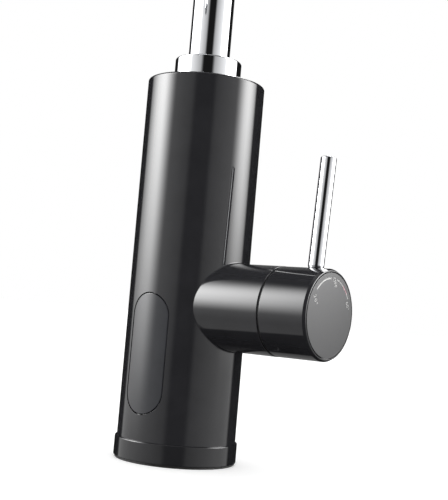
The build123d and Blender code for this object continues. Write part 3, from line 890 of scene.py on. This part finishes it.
arcs = arc_tree()
for name, (start, end, width) in arc_sizes.items():
    print_on_dial(grown(name, arcs, bpy.data.meshes.new("nothing"), radius=mark_r, start=radians(start),
                        sweep=radians(end - start), width=width, thickness=mark_thickness))

# %% [markdown]
# OFF stands between the arcs and a number at the far end of each. The marks are Blender text,
# made thick, turned into a mesh and only then put in place. All three read steeply downwards
# across the dial at one slant.

# %% Words on the dial
reading = radians(-61)
word_size = 3.0 * mm
words = {
    "off_word": ("OFF", 3.7, 15.5 * mm, 1.0),
    "cold_number": ("20\u00b0", -69, 15.2 * mm, 1.3),
    "hot_number": ("60\u00b0", 67, 16.1 * mm, 1.1),
}


def word(name, text, turn, radius, spacing):
    """Printed word centred at an angle from the dial's top towards the hot side."""
    curve = bpy.data.curves.new(name, "FONT")
    curve.body = text
    curve.size = word_size
    curve.space_character = spacing
    curve.align_x = curve.align_y = "CENTER"
    curve.extrude = mark_thickness / 2
    curve.resolution_u = 6
    mesh = plain_mesh(add_object(name + "_source", curve))
    along = Vector((sin(reading), -cos(reading), 0))
    out = Vector((0, 0, 1))
    middle = radius * Vector((cos(radians(turn)), -sin(radians(turn)), 0))
    upright = Matrix((along, out.cross(along), out)).transposed().to_4x4()
    mesh.transform(Matrix.Translation(middle) @ upright)
    return print_on_dial(add_object(name, mesh))


for name, details in words.items():
    print(word(name, *details).name, "printed")

# %% [markdown]
# ## Collar, spout and outlet
#
# A chromed collar covers the swivel joint on the roof. The spout is half-inch tube: it rises,
# bends over in a half circle and comes down to the outlet. The tube's shape follows a rule, a
# circle carried along a path, so a tree sweeps it; its wall is then made by Solidify. The
# collar and the outlet's housing are turned.

# %% Collar
collar_steps = 192
pipe_low, pipe_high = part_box("spout_pipe")
pipe_r = pipe_high.y
collar_bore = pipe_r + 0.1 * mm
skirt_r = 15.9 * mm
collar_roof = 2.0 * mm
collar = turned("collar_cap", [
    (skirt_r, collar_low.z), (collar_high.y, collar_low.z, 0.15 * mm),
    (collar_high.y, collar_high.z, 1.0 * mm), (collar_bore, collar_high.z, 0.2 * mm),
    (collar_bore, collar_high.z - collar_roof), (skirt_r, collar_high.z - collar_roof),
], collar_steps)
settle(collar, "body", "chrome", "collar")

# %% Spout tube
pipe_wall = 1.0 * mm
pipe_sides = 96
bend_steps = 96
bend_r = (outlet_low.y + outlet_high.y) / -4
bend_z = pipe_high.z - bend_r - pipe_r


def pipe_tree():
    """A path swept with a circle of the given radius."""
    tree, size = shape_tree("swept_tube", "Radius")
    section = tree.node("GeometryNodeCurvePrimitiveCircle", {"mode": "RADIUS"}, pipe_sides,
                        size["Radius"])
    tube = tree.node("GeometryNodeCurveToMesh", None, size["Geometry"], section)
    return finish_tree(tree, tube, size["Material"])


def pipe_path():
    """Straight rise, half circle over to the front, short drop."""
    turns = [pi * n / bend_steps for n in range(bend_steps + 1)]
    bend = [(0, bend_r * (cos(t) - 1), bend_z + bend_r * sin(t)) for t in turns]
    stops = [(0, 0, pipe_low.z)] + bend + [(0, -2 * bend_r, pipe_low_end)]
    curve = bpy.data.curves.new("pipe_path", "CURVE")
    curve.dimensions = "3D"
    spline = curve.splines.new("POLY")
    spline.points.add(len(stops) - 1)
    for point, stop in zip(spline.points, stops):
        point.co = (*stop, 1)
    return curve


pipe_low_end = 276.0 * mm
pipe = grown("spout_tube", pipe_tree(), pipe_path(), wall=pipe_wall, radius=pipe_r)
settle(pipe, "spout", "chrome", "spout_pipe")

# %% Outlet housing
outlet_r = outlet_high.x
lip_r = 9.0 * mm
lip_h = 1.5 * mm
insert_r = 9.6 * mm
housing = turned("outlet_housing", [
    (lip_r, outlet_low.z, 0.25 * mm), (outlet_r, outlet_low.z, 0.6 * mm),
    (outlet_r, outlet_high.z, 0.6 * mm), (pipe_r + hairline, outlet_high.z),
    (pipe_r + hairline, pipe_low_end), (insert_r, pipe_low_end), (insert_r, outlet_low.z + lip_h),
    (lip_r, outlet_low.z + lip_h),
], collar_steps, outlet_place)
settle(housing, "spout", "chrome", "aerator_housing")

# %% [markdown]
# ## The outlet's jets
#
# The insert in the outlet breaks the water into many thin jets. It is a turned cup whose floor
# is drilled in rings. The drills follow a rule, so a tree sets copies of one drill round a ring
# for each ring of jets, and takes them all out of the cup.

# %% Outlet insert
drill_sides = 20
jet_r = 0.7 * mm
past_floor = 1.0 * mm
insert_low, insert_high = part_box("aerator_insert")
insert_floor = 2.5 * mm
cup_r = 7.4 * mm
jet_rings = ((0, 1), (2.3 * mm, 6), (4.6 * mm, 12), (6.6 * mm, 18))


def jets_tree():
    """A blank with rings of holes drilled upwards through its floor."""
    tree, size = shape_tree("drilled_rings", "Jet Radius", "Low", "High")
    drill = tree.node("GeometryNodeMeshCylinder", None, drill_sides, 1, 1, size["Jet Radius"],
                      size["High"] - size["Low"])
    middle = tree.node("ShaderNodeCombineXYZ", None, 0.0, 0.0, (size["Low"] + size["High"]) * 0.5)
    drills = tree.tree.nodes.new("GeometryNodeJoinGeometry")
    for radius, count in jet_rings:
        ring = tree.node("GeometryNodeMeshCircle", None, count, radius) if count > 1 else \
            tree.node("GeometryNodePointsToVertices", None, tree.node("GeometryNodePoints"))
        placed = tree.node("GeometryNodeTransform", None, ring, middle)
        copies = tree.node("GeometryNodeInstanceOnPoints", None, placed, None, drill)
        tree.tree.links.new(copies.socket, drills.inputs[0])
    every = tree.node("GeometryNodeRealizeInstances", None, Wire(tree, drills.outputs[0]))
    drilled = tree.node("GeometryNodeMeshBoolean", {"operation": "DIFFERENCE", "solver": "EXACT"},
                        size["Geometry"], every)
    return finish_tree(tree, drilled, size["Material"])


blank = turned("insert_blank", [
    (0, insert_low.z), (insert_r, insert_low.z, 0.2 * mm), (insert_r, insert_high.z),
    (cup_r, insert_high.z), (cup_r, insert_low.z + insert_floor), (0, insert_low.z + insert_floor),
], 96)
insert = grown("outlet_insert", jets_tree(), blank.data.copy(), outlet_place, jet_radius=jet_r,
               low=insert_low.z - past_floor, high=insert_low.z + insert_floor + past_floor)
bpy.data.objects.remove(blank)
settle(insert, "spout", "pale_plastic", "aerator_insert")

# %% [markdown]
# ## Finishes
#
# Each finish is a small tree that reads the piece's own coordinates, so it needs no picture and
# stays put when the handle turns. Apart from the print's, every tree has a main colour that
# varies a little, a gloss that isn't even, and a very fine relief: orange peel in the lacquer,
# grain in moulded plastic, lines in drawn or turned metal. Patterns have real sizes.

# %% Finish helper
def slot_colour(slot):
    """The colour that the record gives a slot."""
    return next(m["base_color"] for m in frame["record"]["materials"] if m["slot"] == slot)


def tinted(colour, share):
    """A colour made lighter or darker by a share, never past white."""
    return [min(1.0, share * c) for c in colour[:3]] + [1.0]


def blank_material(name):
    """A material with an empty node tree."""
    material = bpy.data.materials.new(name)
    material.use_nodes = True
    material.node_tree.nodes.clear()
    return material


class Finish(Tree):
    """A material with one Principled shader. Uniform values are set on the shader's sockets."""

    def __init__(self, name, **uniform):
        self.material = blank_material(name)
        super().__init__(self.material.node_tree)
        self.shader = self.tree.nodes.new("ShaderNodeBsdfPrincipled")
        output = self.tree.nodes.new("ShaderNodeOutputMaterial")
        self.tree.links.new(self.shader.outputs[0], output.inputs[0])
        for name, value in uniform.items():
            next(i for i in self.shader.inputs if key_of(i.name) == name).default_value = value
        self.place = self.node("ShaderNodeTexCoord", None, out=3)

    def feed(self, socket, wire):
        self.tree.links.new(wire.socket, self.shader.inputs[socket])

    def noise(self, size, detail=2.0, stretch=(1, 1, 1)):
        """Values about a half that change over the given size."""
        place = self.place
        if stretch != (1, 1, 1):
            place = self.node("ShaderNodeMapping", {"vector_type": "POINT"}, place, scale=stretch)
        return self.node("ShaderNodeTexNoise", None, place, scale=1 / size, detail=detail)

    def ramp(self, *stops):
        """Base colour from stops of (place, colour) that the last wire runs over."""
        *stops, wire = stops
        self.feed("Base Color", self.node("ShaderNodeValToRGB", {"stops": stops}, wire))

    def drift(self, colour, share, wire):
        """Base colour that a wire makes lighter and darker by a share."""
        low, high = tinted(colour, 1 - share), tinted(colour, 1 + share)
        self.ramp((0.3, low), (0.7, high), wire)

    def relief(self, height, depth):
        """Bump of a real depth."""
        bump = self.node("ShaderNodeBump", None, height=height, distance=depth, strength=1.0)
        self.feed("Normal", bump)


# %% [markdown]
# Sprayed gloss lacquer is black pigment under a surface as smooth as glass. One glossy layer
# over a nearly black colour gives that, without a separate clear coat. A faint orange peel, a
# couple of millimetres across and a thousandth deep, keeps long reflections from looking drawn.
# Gloss plastic has the same build and a finer, shallower wave from its mould.

# %% Lacquer and gloss plastic
def lacquer(slot, tint=1.35):
    made = Finish(slot, specular_ior_level=0.5)
    made.drift(tinted(slot_colour(slot), tint), 0.1, made.noise(14 * mm))
    made.feed("Roughness", made.noise(9 * mm) * 0.04 + 0.02)
    made.relief(made.noise(2.4 * mm, 1.0), 0.0012 * mm)
    return made.material


def gloss_plastic(slot):
    made = Finish(slot, specular_ior_level=0.5)
    made.drift(slot_colour(slot), 0.1, made.noise(11 * mm))
    made.feed("Roughness", made.noise(6 * mm, 3.0) * 0.04 + 0.02)
    made.relief(made.noise(1.6 * mm, 1.0), 0.0008 * mm)
    return made.material


# %% [markdown]
# Chrome is a mirror with hardly any colour. Polishing leaves a haze that comes and goes, so its
# roughness drifts between almost none and a little. Steel, brass and aluminium are the same
# metal shader with lines: stretching the noise one way turns specks into brushing. The dial's
# satin face is painted, so its shader isn't a metal but a grey coat with a fine, soft grain.

# %% Metals
def chrome(slot, roughness=0.02, tint=0.93):
    made = Finish(slot, metallic=1.0)
    made.drift(tinted(slot_colour(slot), tint), 0.03, made.noise(18 * mm))
    made.feed("Roughness", made.noise(7 * mm, 3.0) * 0.05 + roughness)
    made.relief(made.noise(3 * mm, 1.0), 0.0005 * mm)
    return made.material


def lined_metal(slot, roughness=0.28, stretch=(1, 1, 0.04)):
    made = Finish(slot, metallic=1.0)
    lines = made.noise(0.25 * mm, 2.0, stretch)
    made.drift(slot_colour(slot), 0.12, made.noise(5 * mm) * 0.5 + lines * 0.5)
    made.feed("Roughness", lines * 0.14 + (roughness - 0.07))
    made.relief(lines, 0.003 * mm)
    return made.material


def satin_coat(slot, tint=0.36):
    made = Finish(slot, specular_ior_level=0.5)
    grain = made.noise(0.18 * mm, 2.0)
    made.drift(tinted(slot_colour(slot), tint), 0.07, grain)
    made.feed("Roughness", grain * 0.06 + 0.17)
    made.relief(grain, 0.002 * mm)
    return made.material


# %% [markdown]
# Moulded plastic, rubber and ceramic differ only in colour, gloss and how coarse their grain is,
# so one function makes them all. The circuit board adds its own pattern: tracks under the green
# mask show as slightly lighter bricks.

# %% Moulded pieces and boards
def moulded(slot, roughness=0.42, share=0.06, grain=0.35 * mm, depth=0.006 * mm):
    made = Finish(slot, specular_ior_level=0.45)
    fine = made.noise(grain, 2.0)
    made.drift(slot_colour(slot), share, made.noise(8 * mm) * 0.6 + fine * 0.4)
    made.feed("Roughness", fine * 0.16 + (roughness - 0.08))
    made.relief(fine, depth)
    return made.material


def board(slot, track_pitch=6 * mm):
    made = Finish(slot, specular_ior_level=0.5)
    green, lighter = tinted(slot_colour(slot), 1.0), tinted(slot_colour(slot), 1.6)
    tracks = made.node("ShaderNodeTexBrick", None, made.place, color1=green, color2=lighter,
                       mortar=lighter, scale=1 / track_pitch, mortar_size=0.06)
    made.feed("Base Color", tracks)
    made.feed("Roughness", made.noise(1 * mm) * 0.1 + 0.25)
    made.relief(made.noise(0.6 * mm), 0.004 * mm)
    return made.material


# %% [markdown]
# Screen print is a thin coat of matt ink in one flat colour. On the hot arc two inks are printed
# as a blend: the share of red comes from the angle round the dial's axis, and a little noise
# makes the blend uneven, as it looks from close by.

# %% Print
warm_ink = (0.66, 0.3, 0.36, 1.0)


def printed(slot, share, warm=None):
    """Ink in the slot's colour, darkened by a share as painted shade, that can turn red between two
    angles.
    """
    made = Finish(slot + "_print", specular_ior_level=0.3)
    mixed = made.noise(0.5 * mm) * 0.2
    if warm:
        parts = made.node("ShaderNodeSeparateXYZ", None, made.place).socket.node
        y, z = (Wire(made, parts.outputs[axis]) for axis in (1, 2))
        turn = y.math("ARCTAN2", z - axis_z) * degrees(1) - handle_rest
        mixed = mixed + swell(turn, *warm) * 0.7
    # Painted shade: the share darkens the whole mark.
    made.ramp((0.2, tinted(slot_colour(slot), share)), (0.9, warm_ink), mixed)
    made.feed("Roughness", made.noise(0.4 * mm) * 0.1 + 0.4)
    return made.material


# %% [markdown]
# ## Dressing the pieces
#
# Imported pieces and new ones alike name their finish by a slot, so one table of slots dresses
# them all. The lever, which is a little less polished than the spout, has a version of its own,
# and so has each mark, whose ink is darkened by its own share as painted shade.

# %% The finishes
finishes = {slot: make(slot, *settings) for slot, make, *settings in (
    ("black_lacquer", lacquer),
    ("black_gloss_plastic", gloss_plastic),
    ("smoked_acrylic", lacquer),
    ("dark_display", gloss_plastic),
    ("chrome", chrome),
    ("grey_satin_metal", satin_coat),
    ("steel", lined_metal),
    ("brass", lined_metal, 0.24, (1, 1, 0.15)),
    ("aluminium", lined_metal, 0.34),
    ("black_rubber", moulded, 0.75, 0.06, 0.5 * mm, 0.012 * mm),
    ("grey_nylon", moulded),
    ("black_nylon", moulded),
    ("white_plastic", moulded, 0.4, 0.03),
    ("pale_plastic", moulded, 0.36, 0.03),
    ("alumina", moulded, 0.22, 0.03, 0.15 * mm, 0.001 * mm),
    ("board_green", board),
)}
own_finishes = {
    "lever_rod": chrome("chrome", 0.06),
    # The shares are painted shade: the marks get darker from the dial's lit upper left towards its
    # lower right.
    "cold_arc": printed("white_plastic", 1.0),
    "hot_arc": printed("white_plastic", 0.75, ((27, 33), (46, 49))),
    "off_word": printed("white_plastic", 0.95),
    "cold_number": printed("white_plastic", 0.85),
    "hot_number": printed("white_plastic", 0.6),
}

# %% Dress the nodes and the new pieces
for node in nodes.values():
    for holder in node.material_slots:
        holder.material = finishes[holder.material.name.split(".")[0]]
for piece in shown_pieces():
    if "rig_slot" in piece and "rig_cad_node" not in piece:
        piece.data.materials.clear()
        piece.data.materials.append(own_finishes.get(piece.name, finishes[piece["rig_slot"]]))
print(len(finishes), "finishes for all,", len(own_finishes), "for single pieces")

# %% [markdown]
# ## Camera
#
# The camera stands half a metre away, a little lower than the handle, looking slightly up and
# rolled, so the tower leans to the left in the picture. Its place is an angle and a distance
# round the tower, and its aim is three turns, as on a tripod head.

# %% Camera
camera_azimuth = radians(38.59)
camera_distance = 525.29 * mm
camera_height = 76.79 * mm
camera_yaw = radians(-1.76)
camera_pitch = radians(3.40)
camera_roll = radians(4.86)

camera = add_object("camera", bpy.data.cameras.new("camera"))
camera.data.lens = 73.86
camera.data.sensor_width = 36
camera.data.clip_start = 0.01
heading = camera_azimuth + camera_yaw
ahead = Vector((-sin(heading) * cos(camera_pitch), cos(heading) * cos(camera_pitch), sin(camera_pitch)))
level = Vector((cos(heading), sin(heading), 0))
over = level.cross(ahead)
right = level * cos(camera_roll) + over * sin(camera_roll)
up = over * cos(camera_roll) - level * sin(camera_roll)
stand = Vector((sin(camera_azimuth), -cos(camera_azimuth), 0)) * camera_distance
stand.z = camera_height
camera.matrix_world = Matrix.Translation(stand) @ Matrix((right, up, -ahead)).transposed().to_4x4()
bpy.context.scene.camera = camera
print("camera at", [round(x, 3) for x in camera.location])

# %% [markdown]
# ## Studio
#
# Black lacquer shows almost nothing of itself: what the eye reads as its shape is the picture of
# the lights on it. So the set is built in two halves. Two soft cards and the white surroundings
# light every colour at a plain level, and mirrors don't see them. A large tent round the tap
# does the reverse: only mirrors see it. Each stage piece is told which rays may meet it.

# %% Light helpers
def light_path(tree):
    """One where a ray comes from the camera, a mirror or glass."""
    path = tree.tree.nodes.new("ShaderNodeLightPath")
    seen = Wire(tree, path.outputs["Is Camera Ray"]) + Wire(tree, path.outputs["Is Glossy Ray"])
    return (seen + Wire(tree, path.outputs["Is Transmission Ray"])).math("MINIMUM", 1.0)


def stage_piece(mesh, material, camera=False, matt=True, mirror=True):
    """Sets a mesh on the stage, seen only by the rays that are asked for."""
    mesh.materials.append(material)
    made = add_object(mesh.name, mesh)
    made.visible_camera = camera
    made.visible_diffuse = matt
    made.visible_glossy = mirror
    made.visible_transmission = camera
    made.visible_shadow = camera
    return made


def direction(tree, centre):
    """Angles in degrees from a point: round from the front towards +X, and up from level."""
    place = tree.node("ShaderNodeTexCoord", None, out=3)
    spot = tree.node("ShaderNodeVectorMath", {"operation": "SUBTRACT"}, place, centre)
    parts = tree.node("ShaderNodeSeparateXYZ", None, spot).socket.node
    x, y, z = (Wire(tree, s) for s in parts.outputs)
    turn = x.math("ARCTAN2", y * -1.0) * degrees(1)
    tilt = z.math("ARCTAN2", (x * x + y * y).math("SQRT")) * degrees(1)
    return turn, tilt


# %% [markdown]
# The floor and the world look white to the camera, through Light Path. What they give as light
# is set apart from that: the world fills the shadows, and the floor sends little light back up,
# so that the undersides of boss and knob stay as dark as they are on a dark worktop. The floor
# still takes the tap's shadow.

# %% Floor and surroundings
def set_surroundings(colour=0.95, strength=1.35):
    """A world that is plain white to look at and has its own strength as a light."""
    world = bpy.data.worlds.new("surroundings")
    world.use_nodes = True
    bpy.context.scene.world = world
    tree = Tree(world.node_tree)
    world.node_tree.nodes.clear()
    seen = tree.node("ShaderNodeBackground", None, grey(1.0), 1.0)
    given = tree.node("ShaderNodeBackground", None, grey(colour), strength)
    mixed = tree.node("ShaderNodeMixShader", None, light_path(tree), given, seen)
    tree.node("ShaderNodeOutputWorld", None, mixed)


def add_floor(size=8.0, colour=0.8, bounce=0.25, glow=0.3):
    """A pale floor that keeps shadows, white to the camera elsewhere and dimmer as a light."""
    mesh = bpy.data.meshes.new("floor")
    corners = [(-size, -size, 0), (size, -size, 0), (size, size, 0), (-size, size, 0)]
    mesh.from_pydata(corners, [], [(0, 1, 2, 3)])
    material = blank_material("pale_floor")
    tree = Tree(material.node_tree)
    seen = light_path(tree)
    matt = tree.node("ShaderNodeBsdfDiffuse", None, seen * (colour - bounce) + bounce)
    shine = tree.node("ShaderNodeEmission", None, grey(1.0), seen * glow)
    tree.node("ShaderNodeOutputMaterial", None, tree.node("ShaderNodeAddShader", None, matt, shine))
    return stage_piece(mesh, material, camera=True, mirror=False)


# %% [markdown]
# Two upright cards, one to each side, give the colours their modelling: a matt grey is a little
# lighter towards them. They glow evenly and are hidden from camera and mirrors.

# %% Soft cards that light the colours
card_r = 1.4
card_heights = (0.0, 1.4)
card_glow = 1.2


def glowing(name, strength):
    """A material that glows in neutral light, as strongly as a function of its tree says."""
    material = blank_material(name)
    tree = Tree(material.node_tree)
    glow = tree.node("ShaderNodeEmission", None, grey(1.0), strength(tree))
    tree.node("ShaderNodeOutputMaterial", None, glow)
    return material


def soft_card(name, first, last, steps=24):
    """Part of an upright cylinder round the tap, between two angles from its front."""
    angles = np.radians(np.linspace(first, last, steps + 1))
    points = [(card_r * sin(a), -card_r * cos(a), z) for z in card_heights for a in angles]
    faces = [(n, n + 1, n + steps + 2, n + steps + 1) for n in range(steps)]
    mesh = bpy.data.meshes.new(name)
    mesh.from_pydata(points, [], faces)
    return stage_piece(mesh, glowing(name, lambda tree: card_glow), mirror=False)


# %% [markdown]
# What lacquer and chrome mirror is painted on the inside of a ball. Two strong panels draw the
# long highlights, and dim walls that brighten away from the camera give the soft greys beside
# them. Between them, where a camera and its operator would stand, it is black. Two weak patches
# behind the tap lighten the top and the underside of boss and knob, and a strong one high behind
# it draws the thin line along the knob's top. The glow comes from the angle, so the picture
# stays sharp whatever the ball's faces are.

# %% The tent that mirrors see
tent_r = 3.0
tent_centre = (0.0, 0.0, 0.09)
base_glow = 0.012
top_glow = 0.6
gap_left, gap_right = 11.0, 62.0
wall_low, wall_high, wall_rise = 0.52, 1.5, 0.018
wall_foot = 0.45
patches = {
    "left panel": ((-93, -47), (-50, -20), (-10, 18), (22, 56), 16.0),
    "right panel": ((99, 127), (130, 160), (-5, 16), (22, 56), 12.5),
    "high behind": ((-182, -181), (-148, -140), (41, 45), (56, 62), 9.0),
    "back, below": ((-153, -149), (-136, -130), (-48, -42), (-12, -4), 0.3),
    "back, above": ((-153, -149), (-136, -130), (6, 12), (34, 42), 0.17),
}


def tent_glow(tree):
    """Brightness by the angles round and up: each patch fades in and out both ways."""
    turn, tilt = direction(tree, tent_centre)

    def wall(fade_in, fade_out, away):
        rise = (away * wall_rise + wall_low).math("MINIMUM", wall_high)
        return swell(turn, fade_in, fade_out) * rise

    glow = smooth(tilt, 62, 80) * top_glow + base_glow
    clear = 1.0 - smooth(turn, 153, 157)
    for left, right, low, high, strength in patches.values():
        glow = glow + swell(turn, left, right) * swell(tilt, low, high) * clear * strength
    walls = wall((-95, -87), (11, 23), gap_left - turn) + wall((50, 62), (148, 157), turn - gap_right)
    upright = smooth(tilt, -28, 8) * (1.0 - wall_foot) + wall_foot
    return glow + walls * upright * swell(tilt, (-47, -44), (30, 53))


def tent():
    """A ball round the tap, lit from inside by angle."""
    ball = bmesh.new()
    bmesh.ops.create_uvsphere(ball, u_segments=48, v_segments=24, radius=tent_r,
                              matrix=Matrix.Translation(tent_centre))
    mesh = bpy.data.meshes.new("tent")
    ball.to_mesh(mesh)
    ball.free()
    return stage_piece(mesh, glowing("tent", tent_glow), matt=False)


# %% Set the studio
set_surroundings()
stage = [add_floor(), soft_card("left_card", -95, -20), soft_card("right_card", 95, 160), tent()]
print("on the stage:", ", ".join(piece.name for piece in stage))

scene = bpy.context.scene
scene.view_settings.view_transform = "Standard"

# %%
import json
